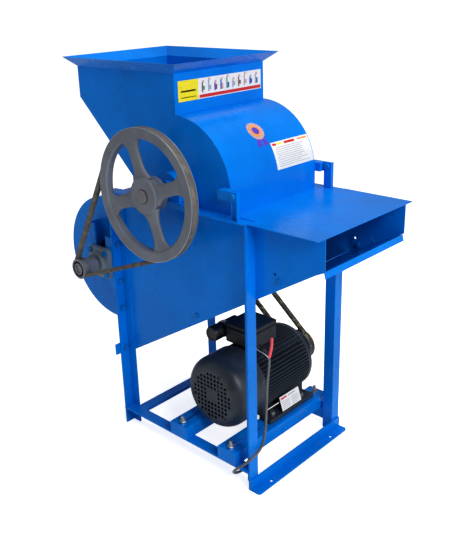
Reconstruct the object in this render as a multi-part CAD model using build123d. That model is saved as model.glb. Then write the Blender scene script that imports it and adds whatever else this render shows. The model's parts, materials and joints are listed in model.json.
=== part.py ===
from build123d import *
from math import acos, atan2, cos, hypot, pi, radians, sin, sqrt, tan
import os

os.makedirs("parts", exist_ok=True)

# Belt-driven hammer mill on an angle-iron stand, in mm, +Z up. The datum for every size below is
# x = 0 on the front legs' outer faces, y = 0 on the near side panel's outer face, z = 0 on the floor.
# +X runs to the delivery mouth. save() moves each part so that the origin is the plan centre.

# Stand
FRAME_L = 541
WIDTH = 360
ANGLE = 35
ANGLE_T = 5
DECK_Z = 790
SHEET = 2
RAIL_TOP = DECK_Z - SHEET
LEG_TOP = RAIL_TOP - ANGLE_T
LOWER_RAIL_TOP = 62
DECK_OVERHANG = 31
FOOT_HOLE_R = 5.5
FOOT_HOLE_INSET = 70
FOOT_HOLE_X = 20
FOOT_CORNER_R = 10
TIE_REACH = 50
TIE_Z = 253
BOLT_HOLE_R = 5
LEG_BOLT_Y = -ANGLE / 2
BAR_BOLTS_Z = (496, 617)
TIE_BOLT_Z = TIE_Z + ANGLE / 2
LOOSE_BOLT_Z = 409

# Casing
MOUTH_X = 217
MOUTH_BOTTOM = 709
PANEL_SLOPE = 0.6121
PANEL_FRONT = MOUTH_X - SHEET
FLOOR_RISE = 16
FLOOR_FRONT_X = 36
FLOOR_BOLT = (-222, 467)
SPARE_HOLE = (64, 664)
SPARE_HOLE_R = 4
POST_FRONT = -35
POST_W = 25
POST_T = 3
POST_LIP = 12
POST_Y = -14
POST_TOP = 862
LUG_REAR = -100
LUG_Z = (836, 861)
LUG_BOLT = (-49, 850)

# Rotor and its housing
ROTOR_X = -270
BEARING_RISE = 47.6
ROTOR_Z = RAIL_TOP + BEARING_RISE
HOUSING_R = 190.5
SHAFT_R = 17.5
SHAFT_FAR = 62
SIDE_SLEEVE = 5
RUNNING = 0.05
BEARING_Y = -24
BEARING_HOLE_R = 6
FOOT_L = 167
FOOT_BOLT_X = 63.5
DISC_Y = (48, 180, 312)
DISC_R = 115
DISC_T = 8
PIN_CIRCLE_R = 95
PIN_R = 7
COLLAR_R = 12
COLLAR_T = 3
COLLAR_GAP = 0.5
HAMMER_TIP = 72
HAMMER_HEAD = 16
HAMMER_W = 40
HAMMER_T = 8
HAMMERS_PER_PIN = 4
HAMMER_PITCH = 68
SIEVE_R = 176
SIEVE_T = 2
SIEVE_EDGE = 40
ROW_ANGLES = {1: 45, 2: 135, 3: 225, 4: 315}

# Hopper
HOPPER_FRONT = -270.4
HOPPER_REAR = -676.5
HOPPER_TOP = 1132
HOPPER_KNEE = 1043.5
RIM_TOP = 1159
RIM_X = (-708, -235)
RIM_Y = (-27, 388)

# Fan
FAN_X = -592
FAN_Z = 555.5
SCROLL_R = 194.5
FAN_SHAFT_R = 12.5
IMPELLER_R = 165
FAN_EYE_R = 62
FAN_LAP = 17
FLANGE_BOLT = 35
FLANGE_HOLE_R = 5
REAR_BAR_Z = (505, 672)
FRONT_BAR_Z = (477, 640)

# Belt drives: a B-section belt on both sides
BELT_W = 17
BELT_H = 11
BELT_SIDE_GAP = 0.4
BELT_BOTTOM_GAP = 1
DRIVE_NEAR = -113.5
DRIVE_FAR = WIDTH + 80
BIG_R = 178
FAN_PULLEY_R = 31.5
FAR_PULLEY_R = 50
RIM_W = 25
BIG_RIM = 29
HUB_R = 50
HUB_BACK_R = 46
HUB_BACK_Y = -80
ARM_TILT = -19

# Motor, frame size 112
MOTOR_X = -186
MOTOR_H = 112
MOTOR_FOOT_X = 95
MOTOR_FOOT_Y = (176, 316)
RAIL_H = 40
RAIL_W = 70
RAIL_WALL = 4
RAIL_BEND_R = 5
MOTOR_RAIL_X = (-282, -84)
SLOT_R = 6
SLOTS = ((-30, 100), (345, 390))
CLAMP_Y = -20
CLAMP_HOLE_R = 5.5
MOTOR_Z = LOWER_RAIL_TOP + RAIL_H + MOTOR_H
COWL_FRONT = 12
COWL_REAR = 132
COWL_R = 112
BODY_R = 100
BORE_R = 88
FIN_COUNT = 40
BOX_SEAT = 112
BOX_H = 66
GLAND_R = 9
GLAND_X = -118
GLAND_Y = 150
GLAND_Z = 340
BODY_Y = (128, 345)
SHIELD_Y = (345, 386)
MOTOR_SHAFT_R = 14

# Delivery flap
FLAP_X = 76
FLAP_Z = 647
FLAP_PIN_R = 4
FLAP_GAP = 0.5
FLAP_REAR_X = 48
FLAP_REAR_Z = 622

# Supply cable
CABLE_R = 4
COIL_MID_R = 48
COIL_BAND = 2 * CABLE_R
COIL_H = 6 * CABLE_R
COIL_CENTRE = (-343, 268)
PLUG_Z = 14

# How far the drive stands out beyond each side panel, and the plan centre that becomes the origin
NEAR_REACH = 130
FAR_REACH = 110
CENTRE_X = (FAN_X - SCROLL_R + MOUTH_X) / 2
CENTRE_Y = (WIDTH + FAR_REACH - NEAR_REACH) / 2


def save(name, shape):
    export_step(Pos(-CENTRE_X, -CENTRE_Y, 0) * shape, f"parts/{name}.step")


def block(x0, x1, y0, y1, z0, z1):
    return Pos((x0 + x1) / 2, (y0 + y1) / 2, (z0 + z1) / 2) * Box(x1 - x0, y1 - y0, z1 - z0)


def round_y(radius, y0, y1, x=0.0, z=0.0):
    """A cylinder that lies along Y."""
    return Pos(x, (y0 + y1) / 2, z) * Rot(90, 0, 0) * Cylinder(radius, y1 - y0)


def ring_y(outer, inner, y0, y1, x, z):
    return round_y(outer, y0, y1, x=x, z=z) - round_y(inner, y0 - 1, y1 + 1, x=x, z=z)


def round_z(radius, z0, z1, x=0.0, y=0.0):
    return Pos(x, y, (z0 + z1) / 2) * Cylinder(radius, z1 - z0)


def round_x(radius, x0, x1, y=0.0, z=0.0):
    return Pos((x0 + x1) / 2, y, z) * Rot(0, 90, 0) * Cylinder(radius, x1 - x0)


def plate_y(points, y0, y1):
    """A flat outline in X and Z, as thick as y0 to y1."""
    face = make_face(Polyline(*[(x, y0, z) for x, z in points], close=True))
    return extrude(face, amount=y1 - y0, dir=(0, 1, 0))


def far_twin(shape):
    """The same piece mirrored to the far side of the machine."""
    return mirror(shape, about=Plane.XZ.offset(-WIDTH / 2))


def hexagon_y(across, y0, y1, x, z):
    prism = extrude(RegularPolygon(across / sqrt(3), 6), amount=y1 - y0)
    return Pos(x, y1, z) * Rot(90, 0, 0) * prism


def panel_bottom(x):
    return MOUTH_BOTTOM + (x - MOUTH_X) * PANEL_SLOPE


# Stand

def front_leg():
    faces_front = block(-ANGLE_T, 0, -ANGLE, 0, 0, LEG_TOP)
    faces_side = block(-ANGLE, 0, -ANGLE_T, 0, 0, LEG_TOP)
    return faces_front + faces_side


def rear_leg():
    x = -FRAME_L
    leg = block(x, x + ANGLE_T, -ANGLE, 0, 0, LEG_TOP) + block(x, x + ANGLE, -ANGLE_T, 0, 0, LEG_TOP)
    for z in (TIE_BOLT_Z, LOOSE_BOLT_Z, *BAR_BOLTS_Z):
        leg -= round_x(BOLT_HOLE_R, x - 1, x + ANGLE_T + 1, y=LEG_BOLT_Y, z=z)
    return leg


def foot_rail():
    y0, y1 = -ANGLE, WIDTH + ANGLE
    upright = block(0, ANGLE_T, y0, y1, 0, ANGLE)
    flat = block(0, ANGLE, y0, y1, 0, ANGLE_T)
    flat = fillet(flat.edges().filter_by(Axis.Z).group_by(Axis.X)[-1], FOOT_CORNER_R)
    for y in (y0 + FOOT_HOLE_INSET, y1 - FOOT_HOLE_INSET):
        flat -= round_z(FOOT_HOLE_R, -1, ANGLE_T + 1, x=FOOT_HOLE_X, y=y)
    return upright + flat


def lower_rail():
    x0, x1 = -FRAME_L + ANGLE_T, -ANGLE_T
    top = block(x0, x1, -ANGLE - ANGLE_T, -ANGLE_T, LOWER_RAIL_TOP - ANGLE_T, LOWER_RAIL_TOP)
    web = block(x0, x1, -2 * ANGLE_T, -ANGLE_T, LOWER_RAIL_TOP - ANGLE, LOWER_RAIL_TOP)
    rail = top + web
    for x in MOTOR_RAIL_X:
        rail -= round_z(CLAMP_HOLE_R, 0, LOWER_RAIL_TOP + 1, x=x, y=CLAMP_Y)
    return rail


def lower_cross_rail():
    x0 = -FRAME_L + ANGLE
    y0, y1 = -ANGLE_T, WIDTH + ANGLE_T
    top = block(x0, x0 + ANGLE, y0, y1, LOWER_RAIL_TOP - ANGLE_T, LOWER_RAIL_TOP)
    return top + block(x0, x0 + ANGLE_T, y0, y1, LOWER_RAIL_TOP - ANGLE, LOWER_RAIL_TOP)


def rear_tie_bar():
    x = -FRAME_L
    bar = block(x - ANGLE_T, x, -TIE_REACH, WIDTH + TIE_REACH, TIE_Z, TIE_Z + ANGLE)
    for y in (LEG_BOLT_Y, WIDTH - LEG_BOLT_Y):
        bar -= round_x(BOLT_HOLE_R, x - ANGLE_T - 1, x + 1, y=y, z=TIE_BOLT_Z)
    return bar


def top_rail():
    flat = block(-FRAME_L, 0, -ANGLE, 0, LEG_TOP, RAIL_TOP)
    web = block(-FRAME_L + ANGLE, -ANGLE, -ANGLE_T, 0, RAIL_TOP - ANGLE, RAIL_TOP)
    rail = flat + web
    for x in (ROTOR_X - FOOT_BOLT_X, ROTOR_X + FOOT_BOLT_X):
        rail -= round_z(BEARING_HOLE_R, LEG_TOP - 1, RAIL_TOP + 1, x=x, y=BEARING_Y)
    return rail


def motor_rail(x):
    """A folded channel, open below, with closed ends and a long slot at each end."""
    y0, y1 = -ANGLE - ANGLE_T, WIDTH + ANGLE + ANGLE_T
    z0, z1 = LOWER_RAIL_TOP, LOWER_RAIL_TOP + RAIL_H
    rail = block(x - RAIL_W / 2, x + RAIL_W / 2, y0, y1, z0, z1)
    rail = fillet(rail.edges().filter_by(Axis.Y).group_by(Axis.Z)[-1], RAIL_BEND_R)
    w = RAIL_W / 2 - RAIL_WALL
    rail -= block(x - w, x + w, y0 + RAIL_WALL, y1 - RAIL_WALL, z0 - 1, z1 - RAIL_WALL)
    low, high = z1 - RAIL_WALL - 1, z1 + 1
    for near, far in SLOTS:
        rail -= block(x - SLOT_R, x + SLOT_R, near, far, low, high)
        rail -= round_z(SLOT_R, low, high, x=x, y=near) + round_z(SLOT_R, low, high, x=x, y=far)
    foot_x = MOTOR_X + MOTOR_FOOT_X * (1 if x > MOTOR_X else -1)
    for y in MOTOR_FOOT_Y:
        rail -= round_z(BOLT_HOLE_R, low, high, x=foot_x, y=y)
    return rail


# Casing

def side_panel():
    """The near side panel: straight top under the rail, sloping bottom edge."""
    x0, x1 = -FRAME_L + FAN_LAP, PANEL_FRONT
    outline = [(x0, panel_bottom(x0)), (x1, panel_bottom(x1)), (x1, RAIL_TOP), (x0, RAIL_TOP)]
    panel = plate_y(outline, 0, SHEET)
    for x, z in (FLOOR_BOLT, (FLAP_X, FLAP_Z)):
        panel -= round_y(BOLT_HOLE_R, -1, SHEET + 1, x=x, z=z)
    return panel - round_y(SPARE_HOLE_R, -1, SHEET + 1, x=SPARE_HOLE[0], z=SPARE_HOLE[1])


def deck_plate():
    x0 = ROTOR_X + HOUSING_R
    deck = block(0, MOUTH_X - 1, -DECK_OVERHANG, WIDTH + DECK_OVERHANG, RAIL_TOP, DECK_Z)
    return deck + block(x0, 0, 0, WIDTH, RAIL_TOP, DECK_Z)


def duct_floor():
    """The sloping grain board between the side panels, with a turned-down front edge."""
    x0, x1 = -FRAME_L + ANGLE_T, FLOOR_FRONT_X
    z0, z1 = panel_bottom(x0) + FLOOR_RISE, panel_bottom(x1) + FLOOR_RISE
    return plate_y([(x0, z0), (x1, z1), (x1, z1 + SHEET), (x0, z0 + SHEET)], SHEET, WIDTH - SHEET)


def hood_side():
    """Side sheet of the rotor housing and the hopper in one piece."""
    x0, x1 = ROTOR_X - HOUSING_R, ROTOR_X + HOUSING_R
    hopper = [(HOPPER_REAR, HOPPER_TOP), (HOPPER_REAR, HOPPER_KNEE), (x0, ROTOR_Z), (ROTOR_X, ROTOR_Z)]
    hopper += [(ROTOR_X, ROTOR_Z + HOUSING_R), (HOPPER_FRONT, HOPPER_TOP)]
    side = plate_y(hopper, SHEET, 2 * SHEET)
    side += round_y(HOUSING_R, SHEET, 2 * SHEET, x=ROTOR_X, z=ROTOR_Z)
    side += block(x0, x1, SHEET, 2 * SHEET, RAIL_TOP, ROTOR_Z)
    return side - round_y(SHAFT_R + SIDE_SLEEVE, 0, 3 * SHEET, x=ROTOR_X, z=ROTOR_Z)


def drum_cover():
    """The curved front sheet: a quarter round that drops straight to the deck."""
    y0, y1 = 2 * SHEET, WIDTH - 2 * SHEET
    ring = ring_y(HOUSING_R, HOUSING_R - SHEET, y0, y1, ROTOR_X, ROTOR_Z)
    quarter = ring & block(HOPPER_FRONT, ROTOR_X + HOUSING_R + 1, y0, y1, ROTOR_Z, ROTOR_Z + HOUSING_R + 1)
    x1 = ROTOR_X + HOUSING_R
    return quarter + block(x1 - SHEET, x1, y0, y1, RAIL_TOP, ROTOR_Z)


def hopper_front_wall():
    y0, y1 = 2 * SHEET, WIDTH - 2 * SHEET
    return block(HOPPER_FRONT - SHEET, HOPPER_FRONT, y0, y1, ROTOR_Z + HOUSING_R - SHEET, HOPPER_TOP)


def hopper_rear_wall():
    """Straight down from the rim, then a chute to the rotor housing, then down to the fan duct."""
    x0 = ROTOR_X - HOUSING_R
    t = SHEET
    bottom = FAN_Z + SCROLL_R
    outside = [(HOPPER_REAR, HOPPER_TOP), (HOPPER_REAR, HOPPER_KNEE), (x0, ROTOR_Z), (x0, bottom)]
    inside = [(x0 + t, bottom), (x0 + t, ROTOR_Z + t)]
    inside += [(HOPPER_REAR + t, HOPPER_KNEE + t), (HOPPER_REAR + t, HOPPER_TOP)]
    return plate_y(outside + inside, 2 * t, WIDTH - 2 * t)


def level_rectangle(x, y, z):
    return Pos(sum(x) / 2, sum(y) / 2, z) * Rectangle(x[1] - x[0], y[1] - y[0])


def flare(x_low, y_low, x_high, y_high):
    return loft([level_rectangle(x_low, y_low, HOPPER_TOP), level_rectangle(x_high, y_high, RIM_TOP)])


def hopper_rim():
    """The flared collar round the hopper's top edge."""
    x_low, y_low = (HOPPER_REAR, HOPPER_FRONT), (SHEET, WIDTH - SHEET)
    inner = [(a + SHEET, b - SHEET) for a, b in (x_low, y_low, RIM_X, RIM_Y)]
    return flare(x_low, y_low, RIM_X, RIM_Y) - flare(*inner)


def sieve():
    """The half-round screen under the hammers."""
    y0, y1 = 2 * SHEET, WIDTH - 2 * SHEET
    ring = ring_y(SIEVE_R + SIEVE_T, SIEVE_R, y0, y1, ROTOR_X, ROTOR_Z)
    x0, x1 = ROTOR_X - HOUSING_R + SHEET, ROTOR_X + HOUSING_R - SHEET
    return ring & block(x0, x1, y0, y1, ROTOR_Z - HOUSING_R, ROTOR_Z - SIEVE_EDGE)


def hood_post():
    flat = block(POST_FRONT - POST_W, POST_FRONT, POST_Y - POST_T, POST_Y, RAIL_TOP, POST_TOP)
    lip = block(POST_FRONT - POST_T, POST_FRONT, POST_Y - POST_LIP, POST_Y, RAIL_TOP, POST_TOP)
    return flat + lip - round_y(BOLT_HOLE_R, POST_Y - POST_T - 1, POST_Y + 1, x=LUG_BOLT[0], z=LUG_BOLT[1])


def hood_lug():
    x_out = POST_FRONT - POST_T
    y_out = POST_Y - POST_LIP
    root = block(LUG_REAR, POST_FRONT - POST_W - 2, y_out, SHEET, LUG_Z[0], LUG_Z[1])
    lap = block(LUG_REAR, x_out, y_out, POST_Y - POST_T, LUG_Z[0], LUG_Z[1])
    return root + lap - round_y(BOLT_HOLE_R, y_out - 1, POST_Y + 1, x=LUG_BOLT[0], z=LUG_BOLT[1])


def flap_profile():
    """Outline of the delivery flap: a board with a lip folded down at its front edge."""
    rear = (FLAP_REAR_X, FLAP_REAR_Z)
    bend = (MOUTH_X - 5, MOUTH_BOTTOM - 4)
    lip = (MOUTH_X - 1, MOUTH_BOTTOM - 21)
    return [rear, bend, lip, (lip[0] - 2, lip[1]), (bend[0] - 1.2, bend[1] - 2.4), (rear[0], rear[1] - 2.2)]


def delivery_flap():
    y0 = SHEET + FLAP_GAP
    board = plate_y(flap_profile(), y0, WIDTH - y0)
    ear_outline = [(FLAP_REAR_X, FLAP_REAR_Z - 1), (128, 662), (117, 680), (56, 672)]
    for y in (y0, WIDTH - y0 - SHEET):
        ear = plate_y(ear_outline, y, y + SHEET)
        ear -= round_y(FLAP_PIN_R + RUNNING, y - 1, y + SHEET + 1, x=FLAP_X, z=FLAP_Z)
        ear -= round_y(SPARE_HOLE_R, y - 1, y + SHEET + 1, x=SPARE_HOLE[0], z=SPARE_HOLE[1])
        board += ear
    return board


# Fan casing

def fan_scroll():
    """The wrapper: three quarters of a round with a flat top run forward to the rotor housing."""
    y0, y1 = SHEET, WIDTH - SHEET
    ring = ring_y(SCROLL_R, SCROLL_R - SHEET, y0, y1, FAN_X, FAN_Z)
    rear = ring & block(FAN_X - SCROLL_R - 1, FAN_X, y0, y1, FAN_Z - SCROLL_R - 1, FAN_Z + SCROLL_R + 1)
    cut_off = ring & block(FAN_X, -FRAME_L, y0, y1, FAN_Z - SCROLL_R - 1, FAN_Z)
    top = FAN_Z + SCROLL_R
    return rear + cut_off + block(FAN_X, ROTOR_X - HOUSING_R, y0, y1, top - SHEET, top)


def fan_side():
    side = round_y(SCROLL_R, 0, SHEET, x=FAN_X, z=FAN_Z)
    reach = SCROLL_R + 1
    side &= block(FAN_X - reach, -FRAME_L + FAN_LAP, 0, SHEET, FAN_Z - reach, FAN_Z + reach)
    return side - round_y(FAN_EYE_R, -1, SHEET + 1, x=FAN_X, z=FAN_Z)


def fan_bearing_bars():
    """Two upright bars on each side that carry the fan bearing, clear of the air eye."""
    rear_x, front_x = FAN_X - FLANGE_BOLT, FAN_X + FLANGE_BOLT
    y = -ANGLE + ANGLE_T
    rear_bar = block(rear_x - 16, rear_x + 10, y - ANGLE_T, y, *REAR_BAR_Z)
    rear_bar += block(rear_x - 16, rear_x - 12, y, 0, *REAR_BAR_Z)
    front_bar = block(front_x - 12, -FRAME_L, y - ANGLE_T, y, *FRONT_BAR_Z)
    front_bar += block(-FRAME_L - ANGLE_T, -FRAME_L, y, 0, *FRONT_BAR_Z)
    bars = [rear_bar, front_bar]
    for i, x in enumerate((rear_x, front_x)):
        for z in (FAN_Z - FLANGE_BOLT, FAN_Z + FLANGE_BOLT):
            bars[i] -= round_y(FLANGE_HOLE_R, y - ANGLE_T - 1, y + 1, x=x, z=z)
    for z in BAR_BOLTS_Z:
        bars[1] -= round_x(BOLT_HOLE_R, -FRAME_L - ANGLE_T - 1, -FRAME_L + 1, y=LEG_BOLT_Y, z=z)
    return bars


# Bearings

def rotor_bearing():
    """A pillow block: foot, round housing and insert in one solid."""
    y = BEARING_Y
    foot = block(ROTOR_X - FOOT_L / 2, ROTOR_X + FOOT_L / 2, y - 24, y + 24, RAIL_TOP, RAIL_TOP + 18)
    foot = fillet(foot.edges().filter_by(Axis.Z), 12)
    body = round_y(46, y - 17, y + 17, x=ROTOR_X, z=ROTOR_Z)
    body += block(ROTOR_X - 44, ROTOR_X + 44, y - 17, y + 17, RAIL_TOP + 10, ROTOR_Z)
    body &= block(ROTOR_X - 60, ROTOR_X + 60, y - 18, y + 18, RAIL_TOP, ROTOR_Z + 50)
    insert = round_y(26, y - 26, y + 18, x=ROTOR_X, z=ROTOR_Z)
    bearing = foot + body + insert - round_y(SHAFT_R + RUNNING, y - 30, y + 30, x=ROTOR_X, z=ROTOR_Z)
    for side in (-1, 1):
        bearing -= round_z(BEARING_HOLE_R, RAIL_TOP - 1, RAIL_TOP + 20, x=ROTOR_X + side * FOOT_BOLT_X, y=y)
    return bearing


def fan_bearing():
    """A square four-bolt flange bearing bolted to the upright bars."""
    y = -ANGLE
    flange = Pos(FAN_X, y - 7, FAN_Z) * Box(95, 14, 95)
    flange = fillet(flange.edges().filter_by(Axis.Y), 14)
    body = round_y(34, y - 27, y - 10, x=FAN_X, z=FAN_Z) + round_y(19, y - 28, y + 3, x=FAN_X, z=FAN_Z)
    bearing = flange + body - round_y(FAN_SHAFT_R + RUNNING, y - 40, y + 10, x=FAN_X, z=FAN_Z)
    for dx in (-FLANGE_BOLT, FLANGE_BOLT):
        for dz in (-FLANGE_BOLT, FLANGE_BOLT):
            bearing -= round_y(FLANGE_HOLE_R, y - 15, y + 1, x=FAN_X + dx, z=FAN_Z + dz)
    return bearing


# Belts and pulleys

def open_belt(c0, r0, c1, r1, y):
    """A flat-sided loop round two pulleys; r0 and r1 are the belt's outer radii."""
    def outline(shrink):
        a, b = r0 - shrink, r1 - shrink
        span = hypot(c1[0] - c0[0], c1[1] - c0[1])
        line = atan2(c1[1] - c0[1], c1[0] - c0[0])
        lean = acos((a - b) / span)
        points = [
            (c[0] + r * cos(line + s * lean), c[1] + r * sin(line + s * lean))
            for s, c, r in ((1, c0, a), (1, c1, b), (-1, c1, b), (-1, c0, a))
        ]
        return plate_y(points, y - BELT_W / 2, y + BELT_W / 2)

    def band(shrink):
        shape = outline(shrink)
        for c, r in ((c0, r0 - shrink), (c1, r1 - shrink)):
            shape += round_y(r, y - BELT_W / 2, y + BELT_W / 2, x=c[0], z=c[1])
        return shape
    return band(0) - band(BELT_H)


def groove(radius, y):
    """The ring that the belt groove takes out of a pulley."""
    half = BELT_W / 2 + BELT_SIDE_GAP
    bottom = radius - BELT_H - BELT_BOTTOM_GAP
    return round_y(radius + 1, y - half, y + half) - round_y(bottom, y - half - 1, y + half + 1)


def plain_pulley(radius, y, bore_r, hub_r, hub_y0, hub_y1, x, z):
    wheel = round_y(radius, y - RIM_W / 2, y + RIM_W / 2) + round_y(hub_r, hub_y0, hub_y1)
    wheel -= groove(radius, y)
    wheel -= round_y(bore_r, hub_y0 - 50, hub_y1 + 50)
    return Pos(x, 0, z) * wheel


def big_pulley():
    y = DRIVE_NEAR
    y0, y1 = y - RIM_W / 2, y + RIM_W / 2
    rim = round_y(BIG_R, y0, y1) - round_y(BIG_R - BIG_RIM, y0 - 1, y1 + 1)
    hub = round_y(HUB_R, y0 - 2, y1 - 3) + round_y(HUB_BACK_R, y1 - 3, HUB_BACK_Y)
    wheel = rim + hub
    for i in range(4):
        tip = BIG_R - BIG_RIM + 2
        arm = plate_y([(40, -24), (tip, -17), (tip, 17), (40, 24)], y - 7, y + 7)
        wheel += Rot(0, ARM_TILT + 90 * i, 0) * arm
    wheel -= groove(BIG_R, y)
    wheel -= round_y(SHAFT_R, y0 - 5, HUB_BACK_Y + 5)
    return Pos(ROTOR_X, 0, ROTOR_Z) * wheel


# Rotor

def pin_place(row):
    a = radians(ROW_ANGLES[row])
    return ROTOR_X + PIN_CIRCLE_R * cos(a), ROTOR_Z + PIN_CIRCLE_R * sin(a)


def hammer_ys(row):
    """Rows next to each other are staggered so that their hammers pass between one another."""
    start = WIDTH / 2 - HAMMER_PITCH * (HAMMERS_PER_PIN - 1) / 2 + (8 if row % 2 else -8)
    return [start + HAMMER_PITCH * i for i in range(HAMMERS_PER_PIN)]


def main_shaft():
    return round_y(SHAFT_R, -NEAR_REACH, WIDTH + SHAFT_FAR, x=ROTOR_X, z=ROTOR_Z)


def rotor_discs():
    discs = []
    for y in DISC_Y:
        disc = round_y(DISC_R, y - DISC_T / 2, y + DISC_T / 2, x=ROTOR_X, z=ROTOR_Z)
        disc -= round_y(SHAFT_R, y - 20, y + 20, x=ROTOR_X, z=ROTOR_Z)
        for row in ROW_ANGLES:
            x, z = pin_place(row)
            disc -= round_y(PIN_R, y - 20, y + 20, x=x, z=z)
        discs.append(disc)
    return discs


def hammer_pins():
    """Four rods through the discs, each with collars either side of its hammers."""
    pins = []
    for row in ROW_ANGLES:
        x, z = pin_place(row)
        pin = round_y(PIN_R, DISC_Y[0] - 16, DISC_Y[-1] + 16, x=x, z=z)
        for y in hammer_ys(row):
            for side in (-1, 1):
                c = y + side * (HAMMER_T / 2 + COLLAR_GAP + COLLAR_T / 2)
                pin += round_y(COLLAR_R, c - COLLAR_T / 2, c + COLLAR_T / 2, x=x, z=z)
        pins.append(pin)
    return pins


def hammer_row(row):
    """The hammers on one pin, hanging straight down."""
    x, z = pin_place(row)
    hammers = []
    half_w, half_t = HAMMER_W / 2, HAMMER_T / 2
    for y in hammer_ys(row):
        bar = block(x - half_w, x + half_w, y - half_t, y + half_t, z - HAMMER_TIP, z + HAMMER_HEAD)
        bar = fillet(bar.edges().filter_by(Axis.Y).group_by(Axis.Z)[-1], 8)
        hammers.append(bar - round_y(PIN_R + RUNNING, y - 10, y + 10, x=x, z=z))
    return hammers


# Fan rotor

def fan_shaft():
    return round_y(FAN_SHAFT_R, DRIVE_NEAR - RIM_W / 2 + 3, WIDTH + FAR_REACH, x=FAN_X, z=FAN_Z)


def fan_impeller():
    """Four straight blades on two welded spiders."""
    y0, y1 = 22, WIDTH - 22
    wheel = round_y(22, y0 + 40, y1 - 40)
    for i in range(4):
        blade = block(95, IMPELLER_R, y0, y1, -1.5, 1.5)
        for y in (WIDTH / 2 - 80, WIDTH / 2 + 80):
            blade += block(18, 150, y - 15, y + 15, -4, 4)
        wheel += Rot(0, 45 + 90 * i, 0) * blade
    wheel -= round_y(FAN_SHAFT_R, 0, WIDTH)
    return Pos(FAN_X, 0, FAN_Z) * wheel


# Motor

def motor_body():
    """The finned stator housing with its feet, open at the drive end."""
    y0, y1 = BODY_Y
    body = round_y(BODY_R - 6, y0, y1)
    for i in range(FIN_COUNT):
        fin = block(BODY_R - 12, BODY_R + 6, y0 + 8, y1 - 8, -1.6, 1.6)
        body += Rot(0, 360 / FIN_COUNT * (i + 0.5), 0) * fin
    body -= round_y(BORE_R, y0 + 12, y1 + 1)
    body -= round_y(MOTOR_SHAFT_R + RUNNING, y0 - 1, y0 + 20)
    rear_y, front_y = MOTOR_FOOT_Y
    for side in (-1, 1):
        foot_x = (-MOTOR_FOOT_X - 25, -MOTOR_FOOT_X + 22)
        foot = block(*foot_x, rear_y - 38, front_y + 34, -MOTOR_H, -MOTOR_H + 14)
        leg = block(-MOTOR_FOOT_X + 10, -45, rear_y - 34, front_y + 28, -MOTOR_H, -60)
        leg -= round_y(BORE_R, y0, y1 + 1)
        pair = foot + leg
        for y in MOTOR_FOOT_Y:
            pair -= round_z(BOLT_HOLE_R, -MOTOR_H - 1, -MOTOR_H + 20, x=-MOTOR_FOOT_X, y=y)
        body += pair if side < 0 else mirror(pair, about=Plane.YZ)
    body += block(-42, 42, 150, 240, 80, BOX_SEAT) - round_y(BORE_R, y0, y1 + 1)
    return Pos(MOTOR_X, 0, MOTOR_Z) * body


def motor_end_shield():
    y0, y1 = SHIELD_Y
    shield = round_y(BODY_R + 6, y0, y0 + 14) + round_y(80, y0 + 10, y1 - 10) + round_y(34, y1 - 12, y1)
    shield -= round_y(MOTOR_SHAFT_R + RUNNING, y0 - 1, y1 + 1)
    shield -= round_y(64, y0 - 1, y1 - 18)
    return Pos(MOTOR_X, 0, MOTOR_Z) * shield


def motor_cowl():
    """The fan cowl: a pressed cup with a rounded shoulder and a plain grille face."""
    t = 2
    outline = [(0, COWL_FRONT), (78, COWL_FRONT), (COWL_R, COWL_FRONT + 44), (COWL_R, COWL_REAR)]
    inside = [(COWL_R - t, COWL_REAR), (COWL_R - t, COWL_FRONT + 45)]
    inside += [(77, COWL_FRONT + t), (0, COWL_FRONT + t)]
    face = make_face(Polyline(*[(r, y, 0) for r, y in outline + inside], close=True))
    return Pos(MOTOR_X, 0, MOTOR_Z) * revolve(face, axis=Axis.Y)


def terminal_box():
    x0, x1 = MOTOR_X - 58, MOTOR_X + 48
    z0 = MOTOR_Z + BOX_SEAT
    box = block(x0, x1, 136, 252, z0, z0 + BOX_H)
    box = fillet(box.edges().filter_by(Axis.Z), 10)
    gland = round_x(GLAND_R, x1 - 2, GLAND_X, y=GLAND_Y, z=GLAND_Z)
    return box + gland


def capacitor():
    x, z = MOTOR_X - 84, MOTOR_Z + BOX_SEAT + 26
    return round_y(24, 104, 222, x=x, z=z) + block(x + 14, MOTOR_X - 58, 150, 180, z - 6, z + 6)


def motor_rotor():
    """Shaft and rotor core in one, running in the two motor bearings."""
    shaft = round_y(MOTOR_SHAFT_R, 50, WIDTH + FAR_REACH) + round_y(80, 165, 318)
    return Pos(MOTOR_X, 0, MOTOR_Z) * shaft


def cooling_fan():
    fan = round_y(26, 60, 100) + round_y(80, 92, 96)
    for i in range(6):
        fan += Rot(0, 60 * i, 0) * block(20, 82, 64, 94, -1.5, 1.5)
    return Pos(MOTOR_X, 0, MOTOR_Z) * (fan - round_y(MOTOR_SHAFT_R, 40, 110))


# Supply cable

CABLE_POINTS = [
    (GLAND_X, GLAND_Y, GLAND_Z),
    (-90, 148, 342),
    (-66, 134, 332),
    (-53, 114, 303),
    (-46, 98, 265),
    (-40, 88, 222),
    (-30, 74, 180),
    (-14, 50, 146),
    (4, 16, 126),
    (14, -22, 120),
    (4, -56, 104),
    (-28, -64, 72),
    (-60, -52, 42),
    (-78, -18, 20),
    (-76, 26, 8),
    (-82, 72, 5),
    (-108, 112, 5),
    (-146, 146, 5),
    (-176, 184, 5),
    (-214, 214, 5),
    (-246, 252, 5),
    (-278, 282, 5),
    (-306.2, 304.8, 5),
]


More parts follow.
